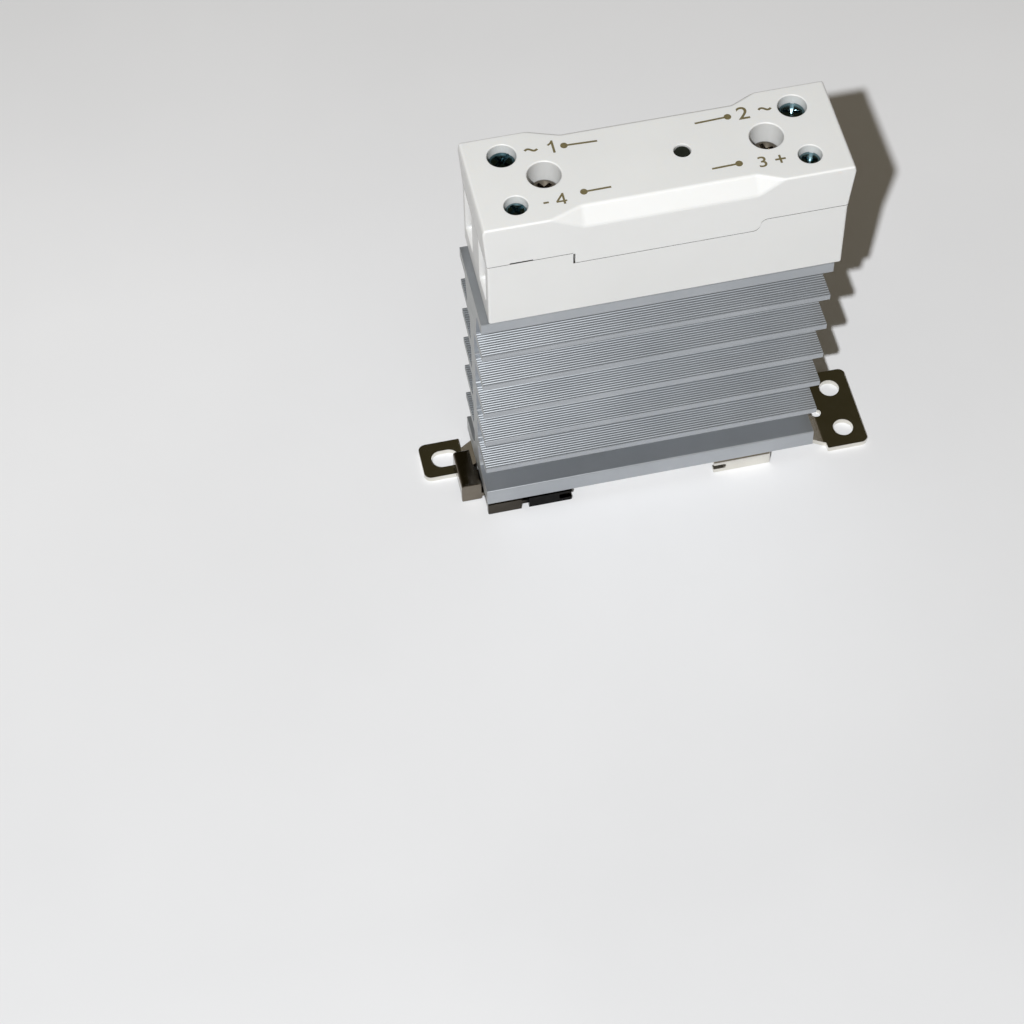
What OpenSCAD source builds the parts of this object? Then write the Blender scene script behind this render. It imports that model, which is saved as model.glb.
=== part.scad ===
/* [Heatsink extrusion] */
// Centre of the extrusion along X
sink_x = -0.75; // [-5:0.05:5]
// Cut length of the extrusion
sink_len = 69; // [50:0.5:120]
// Front and back faces of the extrusion
sink_front = -11.2; // [-15:0.05:-8]
sink_back = 8.9; // [6:0.05:15]
// Underside of the foot, above the mounting plane
foot_z = 3.6; // [2:0.1:8]
// Thickness of the foot
foot_t = 4.3; // [2:0.1:8]
// Face that the module is bolted to
deck_z = 61.7; // [40:0.1:90]
// Thickness of the deck
deck_t = 2.7; // [1.5:0.1:5]
// Thickness of the web that joins deck and foot
web_t = 3.6; // [2:0.1:8]
// Fins on each side of the web
fin_count = 5; // [2:1:9]
// Top face of the lowest fin, and the step up to the next
fin_first_z = 16; // [12:0.1:25]
fin_pitch = 9.05; // [5:0.05:15]
// Thickness of a fin at its root and at its tip
fin_root_t = 2.3; // [1:0.1:5]
fin_tip_t = 1.5; // [0.8:0.1:4]
// Ridges along the top of each fin
ridge_count = 12; // [0:1:16]
ridge_pitch = 0.58; // [0.4:0.01:1]
// Depth and width of the grooves between them
groove_depth = 0.26; // [0.1:0.01:0.6]
groove_w = 0.5; // [0.2:0.01:0.7]

/* [Mounting bracket] */
// Sheet thickness
sheet_t = 1.2; // [0.8:0.1:2]
// Front and back edges of the plate under the foot
plate_front = -9.7; // [-12:0.1:-6]
plate_back = 7.2; // [5:0.1:12]
// Centre line of the bracket
bracket_y = -1.35; // [-4:0.05:4]
// Centre of the 35 mm rail
rail_x = -2.4; // [-8:0.1:8]
// Width of the rail
rail_w = 35; // [15:1:35]
// Reach of each hook under the rail edge
hook_reach = 2.45; // [1:0.05:4]
// Holes of the right ear
ear_hole_x = 41.85; // [38:0.05:45]
ear_hole_step = 10.6; // [8:0.1:14]
ear_hole_r = 2.1; // [1.5:0.05:2.8]

/* [Rail slider] */
// Opening travel of the slider
slider_travel = 3.2; // [2.5:0.1:4]
// Top face of the slider sheet
slider_top = 2.25; // [1.5:0.05:2.3]
// Slider sheet thickness
slider_t = 1.1; // [0.8:0.05:1.5]

/* [Housing] */
// Centre of the housing along X
case_x = 0.65; // [-5:0.05:5]
// Length at the seam
case_len = 68.8; // [50:0.1:120]
// Width
case_w = 22.5; // [17.5:0.5:45]
// Top face
case_top = 88.3; // [60:0.1:120]
// Seam height at both ends
seam_z = 78.1; // [70:0.1:84]
// Seam height along the middle
seam_mid_z = 75.3; // [68:0.1:82]
// Wall thickness
wall = 1.4; // [0.8:0.1:3]
// Thickness of the top
roof_t = 2; // [1:0.1:4]
// How far the two ends lean out by the top
flare_left = 0.7; // [0:0.05:2]
flare_right = 0.95; // [0:0.05:2]
// Half width of the narrow middle of the top, and how far its bevels come down
waist_half = 8.95; // [6:0.05:11]
waist_drop = 3.4; // [1:0.1:6]

/* [Terminals] */
// Distance of the terminals from the housing centre
term_x = 27.75; // [20:0.05:30]
// Distance of the terminals from the centre line
term_y = 6.2; // [4:0.05:8]
// Distance of the mounting screws from the housing centre
mount_x = 21.1; // [15:0.05:24]
// Top face of the conductors under the terminal screws
bar_z = 74; // [70:0.1:78]

/* [Circuit board] */
// Top face and thickness of the board
board_z = 76.2; // [72:0.1:80]
board_t = 1.6; // [0.8:0.1:2]

/* [Hidden] */
$fn = 96;
e = 0.01;

sink_l = sink_x - sink_len / 2;
sink_r = sink_x + sink_len / 2;
web_y = (sink_front + sink_back) / 2;
case_l = case_x - case_len / 2;
case_r = case_x + case_len / 2;
half_w = case_w / 2;
roof_z = case_top - roof_t;
plate_z = foot_z - sheet_t;
hook_l = rail_x - rail_w / 2 + hook_reach;
hook_r = rail_x + rail_w / 2 - hook_reach;
cell_floor = 65.3;
plate_top = 63.9;
pad_t = 0.2;
substrate_top = 64.9;
copper_top = 65.2;
out_bar_t = 1.2;
in_bar_t = 0.8;

// A block given by its two opposite corners.
module span(a, b)
{
  translate(a) cube(b - a);
}

// Half space below the plane through p whose normal n points outward.
module outside(p, n)
{
  len_n = norm(n);
  translate(p)
    rotate([0, acos(n[2] / len_n), atan2(n[1], n[0])])
      translate([-200, -200, 0]) cube(400);
}

// Extrudes an outline drawn in Y and Z along X from x0 to x1.
module along_x(x0, x1)
{
  translate([x0, 0, 0]) rotate([90, 0, 90]) linear_extrude(x1 - x0) children();
}

// Extrudes an outline drawn in X and Z along Y from y0 to y1.
module along_y(y0, y1)
{
  translate([0, y1, 0]) rotate([90, 0, 0]) linear_extrude(y1 - y0) children();
}

// Channels and grooves on the +Y side of the web, cut out of a slab whose side is at y = reach.
module channels(reach)
{
  w = web_t / 2;
  cove = 3;
  foot_top = foot_z + foot_t;
  slope = (fin_root_t - fin_tip_t) / (reach - w);
  // from the foot up to the lowest fin, with a cove beside the web
  translate([w + cove, foot_top]) square([reach, cove + e]);
  translate([w + cove, foot_top + cove]) circle(r = cove);
  polygon([
    [w, foot_top + cove], [reach + 1, foot_top + cove],
    [reach + 1, fin_first_z - fin_tip_t + slope], [w, fin_first_z - fin_root_t]
  ]);
  // between one fin and the next
  for (i = [0 : 1 : fin_count - 2]) {
    z = fin_first_z + fin_pitch * i;
    polygon([
      [w, z], [reach + 1, z],
      [reach + 1, z + fin_pitch - fin_tip_t + slope], [w, z + fin_pitch - fin_root_t]
    ]);
  }
  // above the top fin, beside the thick root that takes the tapped holes
  z_top = fin_first_z + fin_pitch * (fin_count - 1);
  polygon([
    [4, z_top], [reach + 1, z_top], [reach + 1, deck_z - deck_t], [5.4, deck_z - deck_t]
  ]);
  // the top fin has two grooves fewer, because of that root
  for (i = [0 : 1 : fin_count - 1])
    for (k = [0 : 1 : ridge_count - (i == fin_count - 1 ? 3 : 1)])
      translate([reach - ridge_pitch * (k + 0.5), fin_first_z + fin_pitch * i])
        polygon([[-groove_w / 2, e], [0, -groove_depth], [groove_w / 2, e]]);
}

module sink_outline()
{
  difference() {
    translate([sink_front, foot_z]) square([sink_back - sink_front, deck_z - foot_z]);
    translate([web_y, 0]) channels(sink_back - web_y);
    translate([web_y, 0]) mirror([1, 0]) channels(web_y - sink_front);
  }
}

module heatsink()
{
  color([0.68, 0.70, 0.73])
    difference() {
      along_x(sink_l, sink_r) sink_outline();
      for (s = [-1, 1])
        translate([case_x + s * mount_x, 0, 53.2]) cylinder(r = 2, h = 20);
      for (x = [-12, 26])
        translate([x, bracket_y, foot_z - 1]) cylinder(r = 1.5, h = 1 + foot_t - 0.6);
    }
}

// Flat strip with one step down in it, drawn in X and Z: plate level to ear level.
module jog_outline(x_plate, x_ear)
{
  polygon([
    [x_plate, foot_z], [x_plate, plate_z], [x_ear, 0], [x_ear, sheet_t]
  ]);
}

module ear_plate(x0, x1, y0, y1, r)
{
  linear_extrude(sheet_t)
    intersection() {
      translate([x0, y0]) square([x1 - x0, y1 - y0]);
      union() {
        translate([x0 - 10, y0]) square([x1 - x0 + 10 - r, y1 - y0]);
        translate([x0 - 10, y0 + r]) square([x1 - x0 + 10, y1 - y0 - 2 * r]);
        translate([x1 - r, y0 + r]) circle(r = r);
        translate([x1 - r, y1 - r]) circle(r = r);
      }
    }
}

module din_bracket()
{
  color([0.62, 0.59, 0.52])
    difference() {
      union() {
        // plate under the foot
        span([-35, plate_front, plate_z], [33.6, plate_back, foot_z]);
        // right ear and its neck
        along_y(-9.6, 6.9) jog_outline(33.6 - e, 36.9);
        span([36.9 - e, -9.6, 0], [37.5, 6.9, sheet_t]);
        ear_plate(37.35, 46.15, -11.2, 8.5, 1.5);
        // left ear and its neck
        along_y(0, 5.9) jog_outline(-35 + e, -37.6);
        span([-38, 0, 0], [-37.6 + e, 5.9, sheet_t]);
        mirror([1, 0, 0]) ear_plate(37.5, 46.15, -0.2, 8.5, 1.5);
        // fixed hooks at the front and the back edge
        for (y = [sink_front, 7.5])
          difference() {
            span([hook_r, y, 0], [24.75, y + sheet_t, foot_z]);
            span([hook_r - 1, y - 1, 1.15], [hook_r + hook_reach + 0.15, y + 3, plate_z]);
          }
        span([hook_r + hook_reach + 0.15, plate_front - 0.4, plate_z], [24.75, plate_back + 0.4, foot_z]);
        // lug that the slider spring pushes from
        span([-29.8, 0, 0.3], [-28.8, 2, plate_z + e]);
      }
      for (s = [-1, 1])
        translate([ear_hole_x, bracket_y + s * ear_hole_step / 2, -1]) cylinder(r = ear_hole_r, h = 4);
      // slotted hole of the left ear
      translate([0, 0, -1]) linear_extrude(3)
        union() {
          translate([-41.9, 4.1]) circle(r = ear_hole_r);
          translate([-40.3, 4.1]) circle(r = ear_hole_r);
          translate([-41.9, 4.1 - ear_hole_r]) square([1.6, 2 * ear_hole_r]);
        }
      // locating slot in the right neck
      translate([0, 0, -1]) linear_extrude(6)
        union() {
          translate([37.35, -1.75]) circle(r = 1.05);
          translate([35.1, -1.75 - 1.05]) square([2.25, 2.1]);
        }
      for (x = [-12, 26]) {
        translate([x, bracket_y, plate_z - 1]) cylinder(r = 1.6, h = 4);
        translate([x, bracket_y, plate_z - e]) cylinder(r1 = 2.75, r2 = 1.6, h = 1.15);
      }
      for (y = [-5.2, 5.4])
        translate([-25.2, y, plate_z - 1]) cylinder(r = 1.2, h = 4);
    }
}

// Countersunk screws that hold the plate to the foot, heads flush with the plate.
module bracket_screws()
{
  color([0.55, 0.53, 0.48])
    for (x = [-12, 26])
      translate([x, bracket_y, plate_z])
        difference() {
          union() {
            cylinder(r1 = 2.7, r2 = 1.5, h = 1.15);
            translate([0, 0, 1]) cylinder(r = 1.5, h = 3.6);
          }
          for (a = [0, 90])
            rotate(a) translate([-1.3, -0.3, -e]) cube([2.6, 0.6, 0.7]);
        }
}

// Headed rivets fixed in the plate. The slider hangs on their heads.
module guide_rivets()
{
  color([0.6, 0.58, 0.52])
    for (y = [-5.2, 5.4])
      translate([-25.2, y, 0]) {
        translate([0, 0, 0.2]) cylinder(r = 2.1, h = 0.8);
        translate([0, 0, 0.2]) cylinder(r = 1.2, h = foot_z - 0.2);
      }
}

module slider_slot(y)
{
  translate([-25.2, y]) circle(r = 1.35);
  translate([-25.2 + slider_travel + 0.1, y]) circle(r = 1.35);
  translate([-25.2, y - 1.35]) square([slider_travel + 0.1, 2.7]);
}

// Side wall of the slider with its hook, drawn in X and Z.
module slider_side_outline(x0)
{
  difference() {
    translate([x0, 0]) square([hook_l - x0, foot_z - 0.3]);
    translate([rail_x - rail_w / 2 - 0.15, 1.15]) square([10, plate_z - 1.15]);
  }
}

module din_slider()
{
  z0 = slider_top - slider_t;
  left = -39.75;
  color([0.66, 0.62, 0.55]) {
    translate([0, 0, z0])
      linear_extrude(slider_t)
        difference() {
          union() {
            translate([-31.5, plate_front - 0.3]) square([31.5 - 20.1, 17.6]);
            translate([left, -7]) square([10, 6]);
          }
          slider_slot(-5.2);
          slider_slot(5.4);
          // window for the spring
          translate([-30.2, -0.5]) square([8.6, 3]);
        }
    // front and back side walls with the moving hooks
    difference() {
      along_y(sink_front, sink_front + slider_t + 0.1) slider_side_outline(-35.15);
      span([-28.15, sink_front - 1, -1], [-26.55, sink_front + 3, 5]);
    }
    span([-31.5, sink_front + 0.5, z0], [-20.1, plate_front, slider_top]);
    span([-35.15, sink_front + 0.5, z0], [-31.4, -6.9, slider_top]);
    along_y(7.5, 7.5 + slider_t) slider_side_outline(-32.6);
    // finger tab: end wall, top lip and front cheek
    span([left, -7, z0], [left + slider_t, -1, 5.4]);
    span([left, -1.1, 1.7], [left + slider_t, 2.2, 5.4]);
    span([left, -7, 5.4 - slider_t], [-36.3, 2.2, 5.4]);
    span([left, -7, 0.2], [-35.55, -7 + slider_t, 5.4]);
  }
}

// Compression spring with ground ends: the section of a helical wire, twisted along its axis.
module slider_spring()
{
  x0 = -28.75;
  x1 = -21.65;
  turns = 6.5;
  wire = 0.18;
  mean = 0.82;
  pitch = (x1 - x0) / turns;
  section = [
    for (t = [0 : 30 : 330])
      let (a = wire * sin(t) / pitch * 360, r = mean + wire * cos(t)) [r * cos(a), r * sin(a)]
  ];
  color([0.75, 0.75, 0.77])
    translate([x0, 1, 1.27])
      rotate([0, 90, 0])
        linear_extrude(x1 - x0, twist = 360 * turns, slices = turns * 24, $fn = 12) polygon(section);
}

module thermal_pad()
{
  color([0.85, 0.86, 0.84])
    difference() {
      span([case_x - 31.5, -9.6, deck_z], [case_x + 31.5, 8.6, deck_z + pad_t]);
      for (s = [-1, 1])
        translate([case_x + s * mount_x, 0, deck_z - 1]) cylinder(r = 2.6, h = 3);
    }
}

module module_plate()
{
  color([0.72, 0.72, 0.74])
    difference() {
      span([case_x - 32.6, -9.75, deck_z + pad_t], [case_x + 32.6, 9.75, plate_top]);
      for (s = [-1, 1])
        translate([case_x + s * mount_x, 0, deck_z - 1]) cylinder(r = 2.3, h = 6);
    }
}

module substrate()
{
  color([0.93, 0.92, 0.88]) span([case_x - 14, -8.6, plate_top], [case_x + 14, 8.6, substrate_top]);
}

module substrate_copper()
{
  color([0.78, 0.45, 0.28]) {
    span([case_x - 13.6, 2.6, substrate_top], [case_x - 0.8, 8.2, copper_top]);
    span([case_x + 0.8, 2.6, substrate_top], [case_x + 13.6, 8.2, copper_top]);
    span([case_x - 13.6, -8.2, substrate_top], [case_x + 13.6, 1.4, copper_top]);
  }
}

module thyristor_dies()
{
  color([0.32, 0.34, 0.38])
    for (x = [-8, 0.8])
      span([case_x + x, -6.8, copper_top], [case_x + x + 7.2, 0.4, copper_top + 0.5]);
}

// Thin pins that carry the gate signals up to the board.
module gate_pins()
{
  color([0.80, 0.72, 0.45])
    for (x = [-6.5, -4.5, 4.5, 6.5])
      translate([case_x + x, 4.6, copper_top]) cylinder(r = 0.35, h = board_z + 0.6 - copper_top, $fn = 24);
}

// Bent copper strap from the power circuit to an output terminal, for the +X end.
module output_bar()
{
  color([0.80, 0.50, 0.32]) {
    span([12.6, 4.2, bar_z - out_bar_t], [32.3, 8.6, bar_z]);
    span([12.6, 4.2, copper_top], [12.6 + out_bar_t, 8.6, bar_z]);
    span([8.6, 4.2, copper_top], [12.7, 8.2, copper_top + out_bar_t]);
  }
}

module output_bar_1()
{
  translate([case_x, 0, 0]) mirror([1, 0, 0]) output_bar();
}

module output_bar_2()
{
  translate([case_x, 0, 0]) output_bar();
}

// Thin strap from the board to an input terminal, for the +X end.
module input_blade()
{
  color([0.82, 0.80, 0.70]) {
    span([12.6, -8, bar_z - 1.2], [31.6, -4.4, bar_z - 1.2 + in_bar_t]);
    span([12.6, -8, bar_z - 1.2], [12.6 + in_bar_t, -4.4, board_z + 0.7]);
  }
}

module input_blade_3()
{
  translate([case_x, 0, 0]) input_blade();
}

module input_blade_4()
{
  translate([case_x, 0, 0]) mirror([1, 0, 0]) input_blade();
}

module control_board()
{
  color([0.12, 0.36, 0.20])
    difference() {
      span([case_x - 15.2, -9.4, board_z - board_t], [case_x + 15.2, 9.4, board_z]);
      for (x = [-6.5, -4.5, 4.5, 6.5])
        translate([case_x + x, 4.6, board_z - 3]) cylinder(r = 0.45, h = 5, $fn = 24);
      for (s = [-1, 1])
        span([case_x + s * 13 - 0.5, -8.2, board_z - 3], [case_x + s * 13 + 0.5, -4.2, board_z + 1]);
      for (s = [-1, 1])
        translate([case_x + 5.05 + s * 0.8, 0, board_z - 3]) cylinder(r = 0.35, h = 5, $fn = 24);
    }
}

module optocoupler()
{
  x0 = case_x - 6.2;
  color([0.12, 0.12, 0.13]) span([x0, -7.6, board_z + 0.5], [x0 + 8.6, -1.4, board_z + 3.9]);
  color([0.78, 0.78, 0.80])
    for (i = [0, 1, 2])
      for (y = [-8, -1.5])
        span([x0 + 1.5 + i * 2.54, y, board_z], [x0 + 2.1 + i * 2.54, y + 0.5, board_z + 2.4]);
}

module board_resistors()
{
  color([0.78, 0.68, 0.50])
    for (i = [0, 1, 2])
      translate([case_x - 13.6 + i * 2.6, 0.4, board_z + 1.3])
        rotate([-90, 0, 0]) {
          cylinder(r = 1.1, h = 6);
          translate([0, 0, -0.8]) cylinder(r = 0.3, h = 7.6, $fn = 24);
          translate([-0.3, 0, -0.8]) cube([0.6, 1.3, 0.6]);
          translate([-0.3, 0, 6.2]) cube([0.6, 1.3, 0.6]);
        }
}

module snubber_capacitor()
{
  color([0.55, 0.30, 0.12]) span([case_x - 2.6, 5.6, board_z], [case_x + 8.4, 9.2, board_z + 6.9]);
}

module varistor()
{
  color([0.14, 0.28, 0.52])
    translate([case_x + 11.6, 3.2, board_z + 4.2])
      rotate([0, 90, 0]) cylinder(r = 4.2, h = 2.6, center = true);
}

module status_led()
{
  x = case_x + 5.05;
  color([0.15, 0.18, 0.12]) {
    translate([x, 0, 81.6])
      rotate_extrude()
        polygon([[0, 0], [1.75, 0], [1.75, 0.8], [1.5, 0.8], [1.5, 6.1], [1.2, 6.35], [0, 6.35]]);
    for (s = [-1, 1])
      translate([x + s * 0.8, 0, board_z - board_t]) cylinder(r = 0.25, h = 81.7 - board_z + board_t, $fn = 24);
  }
}

// Everything below the seam, drawn in X and Z: a step at the left and a soft rise at the right.
module below_seam()
{
  r = (seam_z - seam_mid_z) / 2;
  x = 16.85;
  translate([-60, 0]) square([120, seam_mid_z]);
  translate([-60, 0]) square([60 - 17.5, seam_z]);
  translate([x + 2 * r, 0]) square([60, seam_z]);
  translate([x + r, 0]) square([r + e, seam_mid_z + r]);
  intersection() {
    translate([x + r, seam_mid_z + r - e]) square([r + e, r + e]);
    translate([x + 2 * r, seam_mid_z + r]) circle(r = r);
  }
  difference() {
    translate([x, seam_mid_z - e]) square([r + e, r + e]);
    translate([x, seam_mid_z + r]) circle(r = r);
  }
}

// Outer block of the housing without the openings, ends leaning out above the seam.
module case_block()
{
  lip = 1.2;
  intersection() {
    along_y(-half_w, half_w)
      polygon([
        [case_l, deck_z], [case_r, deck_z], [case_r, seam_z - 1], [case_r + flare_right, case_top - lip],
        [case_r + flare_right - 0.35, case_top], [case_l - flare_left + 0.35, case_top],
        [case_l - flare_left, case_top - lip], [case_l, seam_z - 1]
      ]);
    along_x(-60, 60)
      polygon([
        [-half_w, deck_z], [half_w, deck_z], [half_w, case_top - 0.4], [half_w - 0.4, case_top],
        [-half_w + 0.4, case_top], [-half_w, case_top - 0.4]
      ]);
  }
}

// Bevel along the front edge of the waist. Its two ends run out in three-cornered facets.
module waist_cut()
{
  d = half_w - waist_half;
  intersection() {
    outside([0, -waist_half, case_top], [0, -waist_drop, d]);
    outside([18.3 - 0.75, -waist_half, case_top], cross([4.9, -d, 0], [0, -d, -waist_drop]) * -1);
    outside([-14.7 - 0.75, -waist_half, case_top], cross([-6.4, -d, 0], [0, -d, -waist_drop]));
    span([-60, -20, 80], [60, 0, 95]);
  }
}

// Space inside the housing between its two divider walls and in the four terminal cells.
module case_inside(z_top)
{
  span([case_x - 15.6, -half_w + wall, plate_top - e], [case_x + 15.6, half_w - wall, z_top]);
  for (s = [0, 1])
    translate([case_x, 0, 0]) mirror([s, 0, 0]) {
      span([16.6, 2.2, cell_floor], [33, half_w - wall, z_top]);
      span([16.6, -half_w + wall, cell_floor], [33, -2.6, z_top]);
      span([16.6, -3, cell_floor], [25.2, 3, z_top]);
      // gaps in the divider for the two conductors
      span([15, 3.9, 71], [17, 8.9, z_top]);
      span([15, -8.3, 71], [17, -4.1, z_top]);
    }
}

// Wire entry: a wide flared mouth outside and a straight window inside.
module wire_window(y, w)
{
  translate([30, y, 0]) {
    span([0, -w / 2, 66.6], [10, w / 2, 77.2]);
    span([3.75, -w / 2 - 0.45, 66.1], [10, w / 2 + 0.45, 77.2]);
  }
}

module housing_base()
{
  color([0.93, 0.92, 0.88])
    difference() {
      intersection() {
        case_block();
        along_y(-20, 20) below_seam();
      }
      case_inside(100);
      // seat of the module plate
      span([case_x - 32.7, -9.85, deck_z - 1], [case_x + 32.7, 9.85, plate_top]);
      for (s = [-1, 1])
        translate([case_x + s * mount_x, 0, 60]) cylinder(r = 2.3, h = 10);
      for (s = [0, 1])
        translate([case_x, 0, 0]) mirror([s, 0, 0]) {
          wire_window(term_y, 5.8);
          wire_window(-term_y, 5.2);
        }
    }
}

// Collar under a terminal hole with a ledge that stops the screw head.
module screw_collar(x, y, r_head, z_ledge)
{
  translate([x, y, z_ledge]) cylinder(r = r_head + 0.85, h = roof_z - z_ledge + 0.1);
}

module housing_cover()
{
  color([0.95, 0.94, 0.90])
    difference() {
      union() {
        difference() {
          case_block();
          along_y(-20, 20) below_seam();
          waist_cut();
          mirror([0, 1, 0]) waist_cut();
          span([case_x - 33, -8.2, 60], [case_x + 33, 8.2, roof_z]);
          span([case_x - 33, -half_w + wall, 60], [case_x + 33, half_w - wall, case_top - waist_drop - 1.6]);
        }
        for (s = [-1, 1]) {
          screw_collar(case_x + s * term_x, term_y, 2.75, 82.9);
          screw_collar(case_x + s * term_x, -term_y, 2.25, 83.4);
          // column that the mounting screw clamps
          translate([case_x + s * mount_x, 0, cell_floor]) cylinder(r = 3.9, h = case_top - cell_floor - 1);
        }
        translate([case_x + 5.05, 0, 84.6]) cylinder(r = 2.6, h = 2);
      }
      for (s = [-1, 1]) {
        translate([case_x + s * term_x, term_y, 83.6]) cylinder(r = 2.75, h = 10);
        translate([case_x + s * term_x, term_y, 80]) cylinder(r = 2.2, h = 10);
        translate([case_x + s * term_x, -term_y, 84.2]) cylinder(r = 2.25, h = 10);
        translate([case_x + s * term_x, -term_y, 80]) cylinder(r = 1.7, h = 10);
        translate([case_x + s * mount_x, 0, 81.5]) cylinder(r = 3.2, h = 10);
        translate([case_x + s * mount_x, 0, 60]) cylinder(r = 2.3, h = 30);
      }
      translate([case_x + 5.05, 0, 80]) cylinder(r = 1.6, h = 10);
      // slit beside the step of the seam, and the latch gaps
      span([-17.75, -20, seam_mid_z], [-17.1, 20, seam_z - 0.2]);
      span([-29.5, -20, seam_z - e], [-25.1, 20, seam_z + 0.3]);
    }
}

module cross_recess(r, depth)
{
  for (a = [0, 90])
    rotate(a) translate([-r, -0.35, -depth]) cube([2 * r, 0.7, depth + 1]);
}

// Long pan head screws: through the housing column and the module plate into the heatsink.
module mounting_screws()
{
  color([0.50, 0.43, 0.34])
    for (s = [-1, 1])
      translate([case_x + s * mount_x, 0, 0])
        difference() {
          union() {
            translate([0, 0, 82.3]) cylinder(r = 2.9, h = 1.4);
            translate([0, 0, 83.7]) cylinder(r1 = 2.9, r2 = 2.1, h = 0.6);
            translate([0, 0, 54]) cylinder(r = 2, h = 28.4);
          }
          translate([0, 0, 84.3]) cross_recess(1.6, 1.4);
        }
}

module mounting_washers()
{
  color([0.58, 0.55, 0.50])
    for (s = [-1, 1])
      translate([case_x + s * mount_x, 0, 81.5])
        difference() {
          cylinder(r = 3.1, h = 0.8);
          translate([0, 0, -1]) cylinder(r = 2.05, h = 3);
        }
}

// Terminal screw on the Z axis: head at z_head, tip resting on z_tip.
module terminal_screw(r_head, r_shank, h_head, z_head, z_tip)
{
  color([0.62, 0.68, 0.70])
    difference() {
      union() {
        translate([0, 0, z_head - h_head]) cylinder(r = r_head, h = h_head - 0.4);
        translate([0, 0, z_head - 0.4]) cylinder(r1 = r_head, r2 = r_head - 0.45, h = 0.4);
        translate([0, 0, z_tip + 0.4]) cylinder(r = r_shank, h = z_head - h_head - z_tip);
        translate([0, 0, z_tip]) cylinder(r1 = r_shank - 0.4, r2 = r_shank, h = 0.4);
      }
      translate([0, 0, z_head]) cross_recess(r_head * 0.62, 1.2);
      translate([-5, -0.4, z_head - 0.7]) cube([10, 0.8, 2]);
    }
}

module output_screw_1()
{
  translate([case_x - term_x, term_y, 0]) terminal_screw(2.6, 2, 3, 86.8, bar_z);
}

module output_screw_2()
{
  translate([case_x + term_x, term_y, 0]) terminal_screw(2.6, 2, 3, 86.8, bar_z);
}

module input_screw_3()
{
  translate([case_x + term_x, -term_y, 0]) terminal_screw(2.1, 1.5, 2.6, 87, bar_z - 0.4);
}

module input_screw_4()
{
  translate([case_x - term_x, -term_y, 0]) terminal_screw(2.1, 1.5, 2.6, 87, bar_z - 0.4);
}

// Rising clamp cage around a conductor: square tube with a tapped top wall.
module cage(half_x, half_y, side_t, z_low, floor_t, z_high, cap_t, r)
{
  color([0.70, 0.70, 0.66])
    difference() {
      span([-half_x, -half_y, z_low], [half_x, half_y, z_high]);
      span([-20, -half_y + side_t, z_low + floor_t], [20, half_y - side_t, z_high - cap_t]);
      translate([0, 0, z_high - cap_t - 1]) cylinder(r = r + 0.05, h = cap_t + 2);
    }
}

module output_cage_1()
{
  translate([case_x - term_x, term_y, 0]) cage(3.3, 3.3, 0.8, 66, 1.5, 78.5, 2, 2);
}

module output_cage_2()
{
  translate([case_x + term_x, term_y, 0]) cage(3.3, 3.3, 0.8, 66, 1.5, 78.5, 2, 2);
}

module input_cage_3()
{
  translate([case_x + term_x, -term_y, 0]) cage(2.9, 2.9, 0.7, 66.4, 1.2, 77, 1.7, 1.5);
}

module input_cage_4()
{
  translate([case_x - term_x, -term_y, 0]) cage(2.9, 2.9, 0.7, 66.4, 1.2, 77, 1.7, 1.5);
}

heatsink();
din_bracket();
bracket_screws();
guide_rivets();
din_slider();
slider_spring();
thermal_pad();
module_plate();
substrate();
substrate_copper();
thyristor_dies();
gate_pins();
output_bar_1();
output_bar_2();
input_blade_3();
input_blade_4();
control_board();
optocoupler();
board_resistors();
snubber_capacitor();
varistor();
status_led();
housing_base();
housing_cover();
mounting_screws();
mounting_washers();
output_screw_1();
output_screw_2();
input_screw_3();
input_screw_4();
output_cage_1();
output_cage_2();
input_cage_3();
input_cage_4();
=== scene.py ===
import bmesh
import bpy
import numpy as np
from mathutils import Matrix, Vector


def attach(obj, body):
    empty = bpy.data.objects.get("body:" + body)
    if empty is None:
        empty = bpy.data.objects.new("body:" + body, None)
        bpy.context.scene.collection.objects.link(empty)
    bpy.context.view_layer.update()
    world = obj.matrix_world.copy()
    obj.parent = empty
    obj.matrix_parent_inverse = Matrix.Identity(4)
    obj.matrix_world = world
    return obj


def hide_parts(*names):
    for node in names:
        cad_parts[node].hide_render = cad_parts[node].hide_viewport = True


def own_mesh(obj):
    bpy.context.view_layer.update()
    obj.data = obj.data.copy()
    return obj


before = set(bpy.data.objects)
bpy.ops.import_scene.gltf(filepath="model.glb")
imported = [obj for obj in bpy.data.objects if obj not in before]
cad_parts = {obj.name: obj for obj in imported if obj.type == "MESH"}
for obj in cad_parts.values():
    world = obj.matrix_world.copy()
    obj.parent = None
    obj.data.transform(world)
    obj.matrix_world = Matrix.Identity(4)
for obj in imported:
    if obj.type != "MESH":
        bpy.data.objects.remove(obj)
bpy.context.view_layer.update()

# --------------------------------------------------------------------------------------
# Stage: a wide sheet of plain white paper with painted light that whitens its back, one small bright lamp above
# and left of the camera, and a dim room. The room is darker above and behind the relay than on the lamp's side.
# --------------------------------------------------------------------------------------


def feed(target, **inputs):
    """Sets a shader node's inputs, each to a number, a colour or another node's output. In
    an input's name _ stands for a space, and i0, i1 ... for its place in the list."""
    for key, value in inputs.items():
        socket = target.inputs[int(key[1:]) if key[1:].isdigit() else key.replace("_", " ")]
        if isinstance(value, bpy.types.NodeSocket):
            target.id_data.links.new(value, socket)
        else:
            socket.default_value = value


def node(tree, kind, settings=(), **inputs):
    """A new shader node with its settings and inputs."""
    made = tree.nodes.new(kind)
    for key, value in dict(settings).items():
        setattr(made, key, value)
    feed(made, **inputs)
    return made


def maths(tree, operation, *values):
    """One arithmetic step on numbers or node outputs."""
    places = {f"i{place}": value for place, value in enumerate(values)}
    return node(tree, "ShaderNodeMath", {"operation": operation}, **places).outputs[0]


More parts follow.
